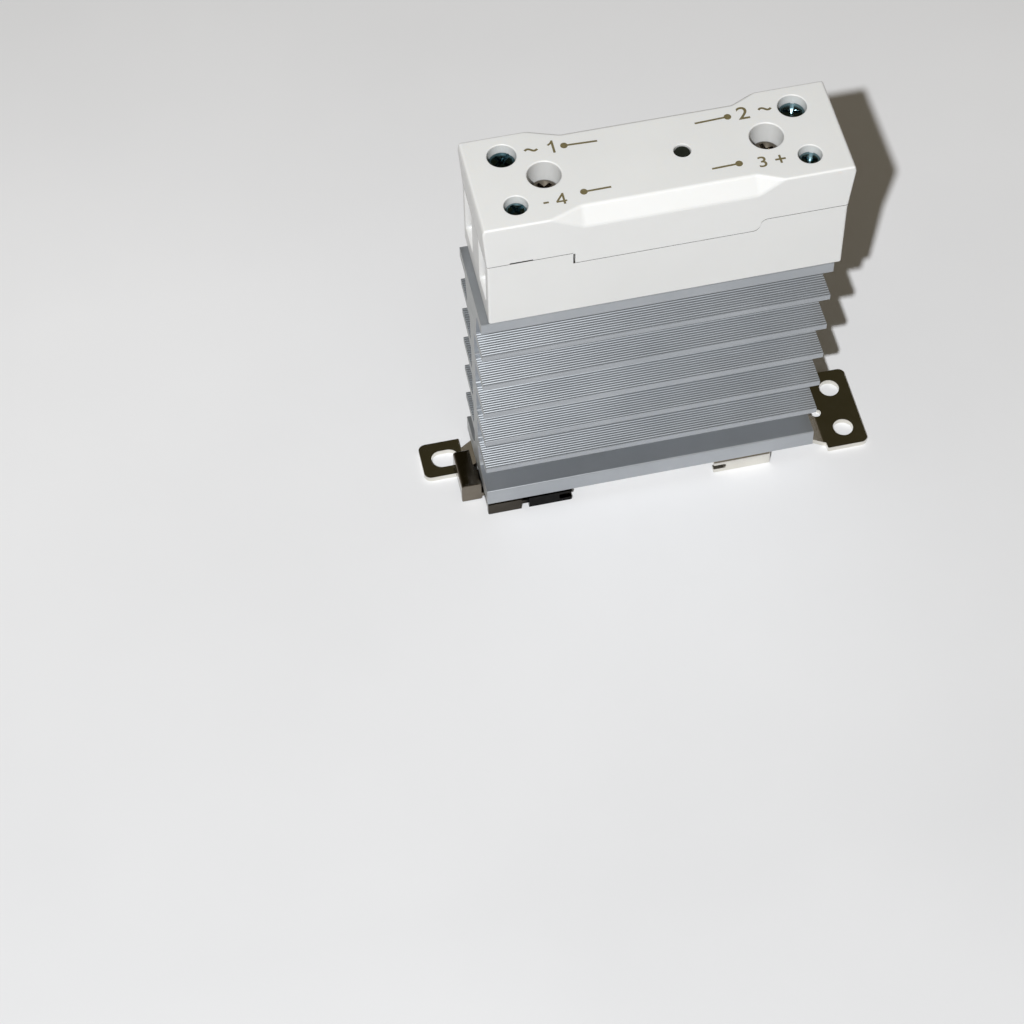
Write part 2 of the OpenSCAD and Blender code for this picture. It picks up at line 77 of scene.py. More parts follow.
def mapped(tree, value, low, high, to_low=0.0, to_high=1.0):
    """The value with low to high carried to to_low to to_high, and held beyond them."""
    return node(tree, "ShaderNodeMapRange", Value=value, i1=low, i2=high,
                i3=to_low, i4=to_high).outputs[0]


def mixed(tree, share, under, over):
    """The colour under, with the share given of the colour over."""
    return node(tree, "ShaderNodeMix", {"data_type": "RGBA"}, Factor=share, A=under,
                B=over).outputs["Result"]


def scaled(tree, colour, factor):
    """A colour made brighter or darker by a factor."""
    return node(tree, "ShaderNodeVectorMath", {"operation": "SCALE"}, i0=colour,
                Scale=factor).outputs[0]


def own_place(tree):
    """X, Y and Z of the object's own coordinates."""
    own = node(tree, "ShaderNodeTexCoord").outputs["Object"]
    return node(tree, "ShaderNodeSeparateXYZ", Vector=own).outputs


def face_way(tree):
    """X, Y and Z of the direction that a face looks in."""
    way = node(tree, "ShaderNodeNewGeometry").outputs["True Normal"]
    return node(tree, "ShaderNodeSeparateXYZ", Vector=way).outputs


def ramp(tree, value, *stops):
    """Colour ramp through the stops, each (place, colour)."""
    made = node(tree, "ShaderNodeValToRGB", Fac=value)
    elements = made.color_ramp.elements
    while len(elements) < len(stops):
        elements.new(0.5)
    for element, (place, colour) in zip(elements, stops):
        element.position = place
        element.color = (*colour, 1) if len(colour) == 3 else colour
    return made.outputs["Color"]


def new_material(name):
    made = bpy.data.materials.new(name)
    made.use_nodes = True
    return made, made.node_tree, made.node_tree.nodes["Principled BSDF"]


def noise(tree, grains, detail=3.0, offset=(0, 0, 0)):
    """Noise over the object's own coordinates. grains is how many there are per metre: one
    number, or one for each of X, Y and Z."""
    own = node(tree, "ShaderNodeTexCoord").outputs["Object"]
    spaced = node(tree, "ShaderNodeMapping", Vector=own, Location=offset,
                  Scale=np.broadcast_to(grains, 3).tolist())
    made = node(tree, "ShaderNodeTexNoise", Vector=spaced.outputs["Vector"], Scale=1.0,
                Detail=detail, Roughness=0.55)
    return made.outputs["Fac"]


paper, tree, bsdf = new_material("white_paper")
paper_tone = ramp(tree, noise(tree, 9, 4), (0.3, (0.80, 0.80, 0.815)), (0.7, (0.84, 0.84, 0.855)))
# painted light: the sheet is painted a little whiter towards the back, to make up for the lamp's falloff there
painted_back_light = mapped(tree, own_place(tree)["Y"], -0.1, 0.06, 0.93, 1.15)
paper_grain = node(tree, "ShaderNodeBump", Strength=0.08, Distance=0.0001,
                   Height=noise(tree, 3000))
feed(bsdf, Base_Color=scaled(tree, paper_tone, painted_back_light), Roughness=0.65,
     Normal=paper_grain.outputs["Normal"])

sheet_half, sheet_z = 3, -2e-5
floor_mesh = bpy.data.meshes.new("floor")
floor_mesh.from_pydata([(x * sheet_half, y * sheet_half, sheet_z)
                        for x, y in ((-1, -1), (1, -1), (1, 1), (-1, 1))], [], [(0, 1, 2, 3)])
floor = bpy.data.objects.new("floor", floor_mesh)
floor.data.materials.append(paper)
bpy.context.scene.collection.objects.link(floor)

world = bpy.data.worlds.new("room")
bpy.context.scene.world = world
world.use_nodes = True
tree = world.node_tree
above_behind = (0.15, 0.62, 0.77)
facing = node(tree, "ShaderNodeVectorMath", {"operation": "DOT_PRODUCT"},
              i0=node(tree, "ShaderNodeTexCoord").outputs["Generated"], i1=above_behind)
room = ramp(tree, mapped(tree, facing.outputs["Value"], -1.0, 1.0),
            (0.0, (0.12, 0.11, 0.10)), (0.35, (0.20, 0.18, 0.155)), (0.55, (0.25, 0.225, 0.185)),
            (0.78, (0.13, 0.112, 0.085)), (0.93, (0.045, 0.038, 0.020)), (1.0, (0.040, 0.034, 0.017)))
feed(tree.nodes["Background"], Color=room, Strength=1.0)

lamp = bpy.data.lights.new("lamp", "AREA")
lamp.shape = "DISK"
lamp.size = 0.017
lamp.energy = 7.5
lamp.color = (0.965, 0.985, 1.0)
lamp_at = Vector((-0.228, -0.505, 0.690))
lamp_object = bpy.data.objects.new("lamp", lamp)
lamp_object.location = lamp_at
lamp_object.rotation_euler = (Vector((0, 0, 0.045)) - lamp_at).to_track_quat("-Z", "Y").to_euler()
bpy.context.scene.collection.objects.link(lamp_object)

camera = bpy.data.cameras.new("camera")
camera.lens = 99.836
camera.sensor_width = 36
camera.clip_start = 0.05
camera_object = bpy.data.objects.new("camera", camera)
right = Vector((0.976717, -0.214069, -0.014073))
down = Vector((-0.182790, -0.796073, -0.576937))
ahead = Vector((0.112301, 0.566076, -0.816668))
turn = Matrix((right, -down, -ahead)).transposed()
camera_object.matrix_world = Matrix.Translation((-0.096009, -0.342938, 0.478053)) @ turn.to_4x4()
bpy.context.scene.collection.objects.link(camera_object)
bpy.context.scene.camera = camera_object
bpy.context.scene.view_settings.view_transform = "Standard"

# --------------------------------------------------------------------------------------
# Heatsink: one length of extruded aluminium, anodised, then sawn off. Five fins stand on
# each side of the web, ridged along their tops, and the deck is drilled for two screws.
# --------------------------------------------------------------------------------------


def rounded(corners, radii, steps=4):
    """Closed outline with each corner turned into an arc of its radius, tangent to both
    sides. A point of the arc is its centre plus the two end spokes, weighted by
    sin((1-u)a)/sin(a) and sin(ua)/sin(a), where a is the angle the arc turns through."""
    p = np.asarray(corners, float)
    back, on = np.roll(p, 1, 0) - p, np.roll(p, -1, 0) - p
    back_len, on_len = np.linalg.norm(back, axis=1), np.linalg.norm(on, axis=1)
    back, on = back / back_len[:, None], on / on_len[:, None]
    half = np.arccos(np.clip((back * on).sum(1), -1, 1)) / 2
    run = np.minimum(np.broadcast_to(radii, len(p)) / np.tan(half),
                     0.49 * np.minimum(back_len, on_len))
    middle = (back + on) / np.maximum(np.linalg.norm(back + on, axis=1), 1e-9)[:, None]
    centre = p + middle * (run / np.cos(half))[:, None]
    turned = np.pi - 2 * half
    u = np.linspace(0, 1, steps + 1)[None, :, None]
    a = turned[:, None, None]
    spoke_a, spoke_b = (p + back * run[:, None] - centre), (p + on * run[:, None] - centre)
    spokes = spoke_a[:, None] * np.sin((1 - u) * a) + spoke_b[:, None] * np.sin(u * a)
    points = (centre[:, None] + spokes / np.sin(a)).reshape(-1, 2)
    apart = np.linalg.norm(points - np.roll(points, 1, 0), axis=1)
    return points[apart > 1e-5]


def inset(outline, by):
    """Closed outline moved inwards: each point moves against the mean of its two sides'
    outward normals."""
    side = np.roll(outline, -1, 0) - outline
    normal = np.stack([side[:, 1], -side[:, 0]], 1) / np.linalg.norm(side, axis=1)[:, None]
    mean = normal + np.roll(normal, 1, 0)
    mean /= np.linalg.norm(mean, axis=1)[:, None]
    after = np.roll(outline, -1, 0)
    area = (outline[:, 0] * after[:, 1] - outline[:, 1] * after[:, 0]).sum()
    return outline - mean * by * np.sign(area)


def ring_solid(name, rings):
    """Closed solid through a stack of rings, in millimetres: point j of a ring is joined
    to point j of the next by four-sided faces, and a flat face closes each end."""
    rings = np.asarray(rings, float)
    count, points = rings.shape[:2]
    i, j = np.meshgrid(np.arange(count - 1), np.arange(points), indexing="ij")
    a, b = i * points + j, i * points + (j + 1) % points
    sides = np.stack([a, b, b + points, a + points], -1).reshape(-1, 4).tolist()
    ends = [list(range(points)), list(range((count - 1) * points, count * points))]
    mesh = bpy.data.meshes.new(name)
    mesh.from_pydata(rings.reshape(-1, 3).tolist(), [], sides + ends)
    work = bmesh.new()
    work.from_mesh(mesh)
    bmesh.ops.recalc_face_normals(work, faces=work.faces)
    work.to_mesh(mesh)
    work.free()
    made = bpy.data.objects.new(name, mesh)
    bpy.context.scene.collection.objects.link(made)
    return made


def prism(name, outline, axis, low, high, edge=0.0):
    """An outline carried straight along one axis, its two ends drawn in by edge."""
    outline = np.asarray(outline, float)
    stations = [(low, outline), (high, outline)]
    if edge:
        drawn = inset(outline, edge)
        stations = [(low, drawn), (low + edge, outline), (high - edge, outline), (high, drawn)]
    return ring_solid(name, [np.insert(shape, "xyz".index(axis), at, axis=1) for at, shape in stations])


def box(low, high, name="box"):
    """A block given by two opposite corners."""
    (x0, y0, z0), (x1, y1, z1) = low, high
    return prism(name, [(x0, y0), (x1, y0), (x1, y1), (x0, y1)], "z", z0, z1)


def lathe(name, x, y, profile, points=64):
    """A profile of (radius, height) pairs turned round an upright axis."""
    a = np.linspace(0, 2 * np.pi, points, endpoint=False)
    r, z = np.asarray(profile, float).T
    rings = np.stack([x + np.outer(r, np.cos(a)), y + np.outer(r, np.sin(a)),
                      np.repeat(z[:, None], points, 1)], -1)
    return ring_solid(name, rings)


def bake(made):
    """Puts the result of an object's modifiers into its mesh."""
    made.data = bpy.data.meshes.new_from_object(
        made.evaluated_get(bpy.context.evaluated_depsgraph_get()))
    made.modifiers.clear()


def combine(body, how, *tools):
    """Adds each tool to the body (UNION), takes it away (DIFFERENCE) or keeps only what
    is inside it (INTERSECT)."""
    for tool in tools:
        step = body.modifiers.new(how, "BOOLEAN")
        step.operation, step.object, step.solver = how, tool, "EXACT"
    bake(body)
    for tool in tools:
        bpy.data.objects.remove(tool)
    return body


def soften(made, width, steps=2, angle=35):
    """Bevels every edge that turns by more than the angle, in degrees."""
    step = made.modifiers.new("edges", "BEVEL")
    step.width, step.segments, step.limit_method = width, steps, "ANGLE"
    step.angle_limit = np.radians(angle)
    step.miter_outer = "MITER_ARC"
    bake(made)
    return made


def place(made, name, finish, slot, body, *nodes, smooth=30):
    """Turns a piece made in millimetres into the finished piece: metres, shading that
    stays flat on flat faces, its material, its body and the CAD nodes it stands for."""
    made.name = made.data.name = name
    made.data.transform(Matrix.Scale(0.001, 4))
    made.data.shade_smooth()
    made.data.set_sharp_from_angle(angle=np.radians(smooth))
    step = made.modifiers.new("normals", "WEIGHTED_NORMAL")
    step.keep_sharp = True
    bake(made)
    made.data.name = name
    made.data.materials.clear()
    made.data.materials.append(finish)
    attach(made, body)
    if nodes:
        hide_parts(*nodes)
    return made


def metal(name, tones, rough, grain, depth, streak=1500, glint_specks=0.0):
    """Metal: its colour runs between two tones over broad patches, its roughness between
    two values over fine streaks, and the same streaks and a finer grain raise it. With glint_specks it has small
    brighter specks, painted glints."""
    made, tree, bsdf = new_material(name)
    lines = noise(tree, streak, 4)
    colour = ramp(tree, noise(tree, 60, 4), (0.32, tones[0]), (0.68, tones[1]))
    # painted highlight: small specks are painted brighter, as glints
    if glint_specks:
        glint_spots = ramp(tree, noise(tree, 900, 6, (3, 5, 1)), (0.66, (0, 0, 0)), (0.72, (1, 1, 1)))
        bright = (*[min(1, 1.35 * c) for c in tones[1]], 1)
        colour = mixed(tree, maths(tree, "MULTIPLY", glint_spots, glint_specks), colour, bright)
    fine = noise(tree, grain, 2, (7, 2, 4))
    bump = node(tree, "ShaderNodeBump", Strength=1.0, Distance=depth,
                Height=maths(tree, "ADD", lines, fine))
    feed(bsdf, Base_Color=colour, Roughness=mapped(tree, lines, 0.3, 0.7, *rough), Metallic=1.0,
         Normal=bump.outputs["Normal"])
    return made


sink_left, sink_right = -35.25, 33.75
web_y, sink_reach, web_half = -1.15, 10.05, 1.8
foot_low, foot_top, cove = 3.6, 7.9, 3.0
fin_low, fin_step, fin_total = 16.0, 9.05, 5
fin_root, fin_tip = 2.3, 1.5
deck_under, deck_top = 59.0, 61.7
foot_screw_xs, foot_screw_y = (-12, 26), -1.35
ridge_step, ridge_depth, ridge_curve, ridge_total = 0.58, 0.14, 0.04, 12

side_corners = [(sink_reach, foot_low, 0.25), (sink_reach, foot_top, 0.3),
                (web_half, foot_top, cove)]
for i in range(fin_total):
    top = fin_low + fin_step * i
    last = i == fin_total - 1
    side_corners += [(web_half, top - fin_root, 0.6), (sink_reach, top - fin_tip, 0.2),
                     (sink_reach, top, 0.12)]
    # each ridge is a flat, a steep drop and a slope back up, going inwards from the fin's edge
    for k in range(ridge_total - 2 * last):
        side_corners += [(sink_reach - (k + part) * ridge_step, top - drop, ridge_curve)
                         for part, drop in ((0.62, 0), (0.70, ridge_depth), (1.0, 0))]
    side_corners += [(4.0 if last else web_half, top, 0.5)]
side_corners += [(5.4, deck_under, 0.6), (sink_reach, deck_under, 0.2), (sink_reach, deck_top, 0.2)]
side_corners = np.array(side_corners)
other_side = side_corners[::-1] * (-1, 1, 1)
sink_corners = np.concatenate([side_corners, other_side])
sink_outline = rounded(sink_corners[:, :2], sink_corners[:, 2], 3) + (web_y, 0)
heatsink = prism("heatsink", sink_outline, "x", sink_left, sink_right, 0.025)
case_x, mount_x = 0.65, 21.1
combine(heatsink, "DIFFERENCE",
        *[lathe("drill", case_x + s * mount_x, 0, [(2, 53.2), (2, 63)]) for s in (-1, 1)],
        *[lathe("drill", x, foot_screw_y, [(1.5, 2), (1.5, 7.3)]) for x in foot_screw_xs])

anodised = metal("anodised_aluminium", ((0.37, 0.39, 0.415), (0.42, 0.44, 0.465)), (0.32, 0.40),
                 9000, 3e-6, (25, 9000, 9000), 0.25)
tree = anodised.node_tree
bsdf = tree.nodes["Principled BSDF"]
# sawn ends: bare, brighter and rough, with fine level saw marks
sawn = mapped(tree, maths(tree, "ABSOLUTE", face_way(tree)["X"]), 0.3, 0.9)
bare = ramp(tree, noise(tree, (200, 250, 5000), 4), (0.3, (0.32, 0.33, 0.33)),
            (0.7, (0.48, 0.49, 0.49)))
satin = bsdf.inputs["Roughness"].links[0].from_socket
rougher = node(tree, "ShaderNodeMix", Factor=sawn, A=satin, B=0.52)
feed(bsdf, Base_Color=mixed(tree, sawn, bsdf.inputs["Base Color"].links[0].from_socket, bare),
     Roughness=rougher.outputs["Result"], Metallic=0.70)
place(heatsink, "finned_heatsink", anodised, "aluminium_sink", "relay", "heatsink")

# --------------------------------------------------------------------------------------
# Mounting bracket: one piece of steel sheet, cut and bent, then plated with bright nickel.
# It has two hooks for the rail's far edge and an ear at each end for screws.
# --------------------------------------------------------------------------------------

sheet, ear_end = 1.2, 46.15
plate_low, plate_high = 2.4, 3.6
rivet_x, rivet_ys = -25.2, (-5.2, 5.4)
bent = rounded([(-ear_end, 0), (-ear_end, sheet), (-37.6, sheet), (-35, plate_high),
                (33.6, plate_high), (36.9, sheet), (ear_end, sheet), (ear_end, 0), (36.9, 0),
                (33.6, plate_low), (-35, plate_low), (-37.6, 0)],
               [0.12, 0.12, 0.8, 1.4, 1.4, 0.8, 0.12, 0.12, 1.4, 0.8, 0.8, 1.4], 6)
flat = rounded([(-ear_end, -0.2), (-37.5, -0.2), (-37.5, 0), (-35, 0), (-35, -9.7), (33.6, -9.7),
                (37.35, -9.6), (37.35, -11.2), (ear_end, -11.2), (ear_end, 8.5), (37.35, 8.5),
                (37.35, 6.9), (33.6, 7.2), (-35, 7.2), (-35, 5.9), (-37.5, 5.9), (-37.5, 8.5),
                (-ear_end, 8.5)],
               [1.5, 0.3, 0.05, 0.3, 0.3, 0.3, 0.4, 0.3, 1.5, 1.5, 0.3, 0.4, 0.3, 0.3, 0.3, 0.3, 0.3, 1.5], 6)
bracket = prism("bracket", bent, "y", -12, 9)
combine(bracket, "INTERSECT", prism("cut", flat, "z", -1, 5))
hook_left, hook_right = 12.65, 24.75
for wall_y, back in ((-11.2, 1), (8.7, -1)):
    flange = rounded([(wall_y, 0), (wall_y + back * sheet, 0), (wall_y + back * sheet, plate_low),
                      (wall_y + back * 2.2, plate_low), (wall_y + back * 2.2, 3.58), (wall_y, 3.58)],
                     [0.15, 0.15, 0.4, 0.01, 0.01, 1.1], 5)
    hook = prism("hook", flange, "x", hook_left, hook_right, 0.12)
    notch = rounded([(11, 1.15), (15.25, 1.15), (15.25, plate_low), (11, plate_low)],
                    [0.3, 0.4, 0.4, 0.3])
    combine(hook, "DIFFERENCE", prism("notch", notch, "y", wall_y - 2, wall_y + 2.2))
    combine(bracket, "UNION", hook)
combine(bracket, "UNION", box((-29.8, 0, 0.3), (-28.8, 2, 2.5)))


def punched(x, y, r, z0=-1, z1=5, stretch=0.0):
    """A punched hole, or a slot that runs on along X by stretch."""
    a = np.linspace(0, 2 * np.pi, 64, endpoint=False)
    shape = np.stack([x + r * np.cos(a) + np.where(np.cos(a) > 0, stretch, 0), y + r * np.sin(a)], 1)
    return prism("punch", shape, "z", z0, z1)


combine(bracket, "DIFFERENCE", punched(41.85, -6.65, 2.1), punched(41.85, 3.95, 2.1),
        punched(-41.9, 4.1, 2.1, stretch=1.6), punched(35.1, -1.75, 1.05, stretch=2.25),
        *[punched(rivet_x, y, 1.2) for y in rivet_ys],
        *[lathe("sink", x, foot_screw_y, [(2.85, 2.3), (2.75, plate_low), (1.6, 3.55), (1.6, 5)])
          for x in foot_screw_xs])
soften(bracket, 0.12, 2, 40)
nickel = metal("bright_nickel", ((0.63, 0.61, 0.56), (0.74, 0.72, 0.67)), (0.10, 0.20), 2500, 2.5e-6,
               700, 0.3)
place(bracket, "nickel_bracket", nickel, "nickel_sheet", "relay", "din_bracket")

# --------------------------------------------------------------------------------------
# Rail slider: a second piece of plated sheet that hangs on two rivets under the plate. A
# finger tab at its left end pulls it out, and a spring pushes its two hooks back.
# --------------------------------------------------------------------------------------

thin = 1.1
web_low, web_top = 1.15, 2.25
slider = prism("slider", rounded([(-31.5, -10), (-20.1, -10), (-20.1, 7.6), (-31.5, 7.6), (-31.5, -1),
                                  (-39.6, -1), (-39.6, -7), (-31.5, -7)],
                                 [0.2, 0.2, 0.2, 0.2, 0.4, 0.2, 0.2, 0.4]), "z", web_low, web_top)
hook_tip, hook_throat = -17.45, -20.05


def slider_wall(left):
    """A side wall of the slider, whose right end is a C-shaped hook for the rail's edge."""
    return rounded([(left, 0), (hook_tip, 0), (hook_tip, 1.15), (hook_throat, 1.15),
                    (hook_throat, 2.4), (hook_tip, 2.4), (hook_tip, 3.3), (left, 3.3)],
                   [0.3, 0.3, 0.3, 0.2, 0.2, 0.2, 0.3, 0.5])


front = prism("front", slider_wall(-35.15), "y", -11.2, -10, 0.12)
gap = rounded([(-28.15, -1), (-26.55, -1), (-26.55, 5), (-28.15, 5)], 0.05)
combine(front, "DIFFERENCE", prism("gap", gap, "y", -13, -8))
tab_left, tab_right = -39.75, -36.3
tab = prism("tab", rounded([(tab_left, web_low), (tab_left + thin, web_low), (tab_left + thin, 4.3),
                            (tab_right, 4.3), (tab_right, 5.4), (tab_left, 5.4)],
                           [0.9, 0.2, 0.3, 0.15, 0.15, 0.7], 6), "y", -6.9, 2.2, 0.12)
combine(tab, "DIFFERENCE", box((-41, -1, 0), (-38.0, 3, 1.7)))
cheek = prism("cheek", rounded([(tab_left, 0.2), (-35.55, 0.2), (-35.55, 5.4), (tab_left, 5.4)],
                               [0.25, 0.25, 0.25, 0.5]), "y", -7, -7 + thin, 0.12)
combine(slider, "UNION", front, prism("back", slider_wall(-32.6), "y", 7.5, 8.6, 0.12),
        box((-31.5, -10.8, web_low), (-20.1, -9.7, web_top)),
        box((-35.15, -10.8, web_low), (-31.4, -6.9, web_top)), tab, cheek)
spring_window = rounded([(-30.2, -0.5), (-21.4, -0.5), (-21.4, 2.5), (-30.2, 2.5)], 0.3)
combine(slider, "DIFFERENCE", prism("window", spring_window, "z", 0, 3),
        *[punched(rivet_x, y, 1.35, 0, 3, 3.3) for y in rivet_ys])
soften(slider, 0.1, 2, 40)
slider_nickel = metal("slider_nickel", ((0.11, 0.093, 0.072), (0.21, 0.185, 0.15)), (0.10, 0.22),
                      2500, 4e-6, (500, 900, 900), 0.3)
tree = slider_nickel.node_tree
bsdf = tree.nodes["Principled BSDF"]
# the plating of the front wall is stained, and nearly black on the hook's side of the gap
own = own_place(tree)
on_wall = mapped(tree, own["Y"], -0.0099, -0.0106)
by_hook = mapped(tree, own["X"], -0.0280, -0.0268, 0.7, 1.0)
stain = ramp(tree, noise(tree, 900, 4, (1, 2, 3)), (0.40, (0.001, 0.001, 0.001)),
             (0.80, (0.010, 0.008, 0.007)))
feed(bsdf, Base_Color=mixed(tree, maths(tree, "MULTIPLY", on_wall, by_hook),
                            bsdf.inputs["Base Color"].links[0].from_socket, stain))
place(slider, "rail_slider", slider_nickel, "nickel_slider", "rail_slider", "din_slider")


def carry(node_name, finish):
    """Gives a CAD node that is shown as it is its own material."""
    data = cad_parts[node_name].data
    data.materials.clear()
    data.materials.append(finish)


spring_wire = metal("spring_wire", ((0.60, 0.60, 0.62), (0.70, 0.70, 0.72)), (0.18, 0.30), 8000, 2e-6,
                    3000)
hardware = metal("plated_hardware", ((0.48, 0.46, 0.41), (0.58, 0.555, 0.50)), (0.20, 0.34), 6000, 3e-6,
                 4000, 0.2)
carry("bracket_screws", hardware)
carry("guide_rivets", hardware)

# the catch spring: a copy of the CAD's spring with a mesh of its own. In the relay it shortens from its right end
# as the slider is pulled out, 7.1 mm to 3.9 mm; this script does not shorten it
spring_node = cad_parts["slider_spring"]
spring = bpy.data.objects.new("catch_spring", spring_node.data.copy())
spring.data.transform(spring_node.matrix_world)
spring.data.name = "catch_spring"
spring.data.materials.clear()
spring.data.materials.append(spring_wire)
bpy.context.scene.collection.objects.link(spring)
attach(spring, "relay")
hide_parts("slider_spring")
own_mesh(spring)

# --------------------------------------------------------------------------------------
# Housing: two injection mouldings of white glass-filled plastic, a base that holds the
# clamps and a cover with the screw holes. They meet in a fine stepped seam.
# --------------------------------------------------------------------------------------

case_left, case_right, case_half = -33.75, 35.05, 11.25
case_top, seam_end, seam_middle = 88.3, 78.1, 75.3
flare_left, flare_right, lip = 0.7, 0.95, 1.2
waist_half, waist_drop = 8.95, 3.4
wall, roof = 1.4, 86.3
cell_floor, plate_top = 65.3, 63.9
seam_gap, seam_step = 0.12, -17.5
lamp_x = case_x + 5.05
window_low, window_high = 66.6, 77.2


def case_block():
    """The housing's outer form: its long outline in X and Z carried across the width, less
    a wedge along each long top edge whose ends run out in three-cornered facets. A wedge
    is a solid between its ridge inside the housing and a far copy of its outline."""
    left, right = case_left - flare_left, case_right + flare_right
    block = prism("case", [(case_left, deck_top), (case_right, deck_top), (case_right, seam_end - 1),
                           (right, case_top - lip), (right - 0.3, case_top), (left + 0.3, case_top),
                           (left, case_top - lip), (case_left, seam_end - 1)],
                  "y", -case_half, case_half)
    wedges = []
    for s in (-1, 1):
        mesh = bpy.data.meshes.new("wedge")
        y_in, y_out, drop = s * waist_half, s * case_half, case_top - waist_drop
        lift = np.array([0, -s * (case_half - waist_half), waist_drop]) * 0.6
        ends = []
        for ridge, tip in ((-15.45, -21.85), (17.55, 22.45)):
            inner, low, out = np.array([(ridge, y_in, case_top), (ridge, y_out, drop),
                                        (tip, y_out, case_top)])
            # the last two run along the facet's edges and well past its tip
            ends.append([low - lift, inner + lift, inner + (out - inner) * 1.6,
                         low + (out - low) * 1.6])
        lower, upper, top, front = zip(*ends)
        points = np.array([*lower, *upper[::-1], *top, *front])
        mesh.from_pydata(points.tolist(), [], [])
        work = bmesh.new()
        work.from_mesh(mesh)
        bmesh.ops.convex_hull(work, input=work.verts)
        bmesh.ops.recalc_face_normals(work, faces=work.faces)
        work.to_mesh(mesh)
        work.free()
        wedge = bpy.data.objects.new("wedge", mesh)
        bpy.context.scene.collection.objects.link(wedge)
        wedges.append(wedge)
    combine(block, "DIFFERENCE", *wedges)
    return soften(block, 0.42, 4, 12)


def below_seam(name, shift):
    """Everything below the seam, moved down by shift: high at both ends, low along the
    middle, with a step at the left and two quarter arcs at the right."""
    r = (seam_end - seam_middle) / 2
    rise = 16.85
    a = np.linspace(0, np.pi / 2, 9)
    first = np.stack([rise + r * np.sin(a), seam_middle + r - r * np.cos(a)], 1)
    second = np.stack([rise + 2 * r - r * np.cos(a), seam_middle + r + r * np.sin(a)], 1)[1:]
    line = np.concatenate([[(-60, seam_end), (seam_step, seam_end), (seam_step, seam_middle)],
                           first, second, [(60, seam_end)]])
    line[:, 1] += shift
    return prism(name, np.concatenate([line, [(60, 40), (-60, 40)]]), "y", -30, 30)


def bore(x, y, r, z_floor, flare=0.22):
    """Cutter for a round hole in the top, opened out at its mouth by a small arc."""
    a = np.linspace(0, np.pi / 2, 6)
    mouth = np.stack([r + flare - flare * np.cos(a), case_top - flare + flare * np.sin(a)], 1)
    return lathe("bore", x, y, [(r, z_floor), *mouth.tolist(), (r + flare, case_top + 2)])


def wire_window(s, y, half):
    """Cutter for a wire entry in the end wall on side s: a rounded upright window that
    opens out in a curved mouth at the face."""
    face = case_right if s > 0 else case_left
    stations = [(-4.0, 0.0), (-0.9, 0.0), (-0.55, 0.06), (-0.25, 0.22), (0.0, 0.45), (2.0, 0.45)]
    rings = []
    for depth, grow in stations:
        low, high = window_low - grow, window_high + grow * 0.3
        shape = rounded([(y - half - grow, low), (y + half + grow, low),
                         (y + half + grow, high), (y - half - grow, high)], 0.6, 6)
        rings.append(np.insert(shape, 0, face + s * depth, axis=1))
    return ring_solid("window", rings)


def inner_rooms(z_top):
    """Cutters for the space inside: the middle chamber, four terminal cells and the gaps
    that the conductors pass through."""
    rooms = [box((case_x - 15.6, -case_half + wall, plate_top - 0.01),
                 (case_x + 15.6, case_half - wall, z_top))]
    for s in (-1, 1):
        for low, high in (((16.6, 2.2, cell_floor), (33, case_half - wall, z_top)),
                          ((16.6, -case_half + wall, cell_floor), (33, -2.6, z_top)),
                          ((16.6, -3, cell_floor), (25.2, 3, z_top)),
                          ((15, 3.9, 71), (17, 8.9, z_top)), ((15, -8.3, 71), (17, -4.1, z_top))):
            xs = sorted((case_x + s * low[0], case_x + s * high[0]))
            rooms.append(box((xs[0], low[1], low[2]), (xs[1], high[1], high[2])))
    return rooms


term_x, term_y = 27.75, 6.2
housing_base = case_block()
combine(housing_base, "INTERSECT", below_seam("keep", -seam_gap / 2))
combine(housing_base, "DIFFERENCE", *inner_rooms(100),
        box((case_x - 32.7, -9.85, deck_top - 1), (case_x + 32.7, 9.85, plate_top)))
combine(housing_base, "DIFFERENCE",
        *[lathe("hole", case_x + s * mount_x, 0, [(2.3, 60), (2.3, 70)]) for s in (-1, 1)],
        *[wire_window(s, y, half) for s in (-1, 1) for y, half in ((term_y, 2.9), (-term_y, 2.6))])

housing_cover = case_block()
combine(housing_cover, "DIFFERENCE", below_seam("cut", seam_gap / 2))
combine(housing_cover, "DIFFERENCE",
        box((case_x - 33, -8.2, 60), (case_x + 33, 8.2, roof)),
        box((case_x - 33, -case_half + wall, 60),
            (case_x + 33, case_half - wall, case_top - waist_drop - 1.6)))
collars = []
for s in (-1, 1):
    collars += [lathe("collar", case_x + s * term_x, term_y, [(3.6, 82.9), (3.6, roof + 0.3)]),
                lathe("collar", case_x + s * term_x, -term_y, [(3.1, 83.4), (3.1, roof + 0.3)]),
                lathe("column", case_x + s * mount_x, 0, [(3.8, cell_floor + 0.02), (3.9, roof + 0.3)])]
combine(housing_cover, "UNION", *collars, lathe("collar", lamp_x, 0, [(2.6, 84.6), (2.6, roof + 0.3)]))
bores = []
for s in (-1, 1):
    bores += [bore(case_x + s * term_x, term_y, 2.75, 83.6), bore(case_x + s * term_x, -term_y, 2.25, 84.2),
              bore(case_x + s * mount_x, 0, 3.2, 81.5, 0.28),
              lathe("neck", case_x + s * term_x, term_y, [(2.2, 80), (2.2, 84)]),
              lathe("neck", case_x + s * term_x, -term_y, [(1.7, 80), (1.7, 85)]),
              lathe("neck", case_x + s * mount_x, 0, [(2.3, 60), (2.3, 82)])]
combine(housing_cover, "DIFFERENCE", *bores,
        lathe("hole", lamp_x, 0, [(1.6, 80), (1.6, 88.1), (1.75, 88.35), (1.75, 90)]),
        box((-17.75, -20, seam_middle), (-17.1, 20, seam_end - 0.2)),
        box((-29.5, -20, seam_end - 0.01), (-25.1, 20, seam_end + 0.3)))


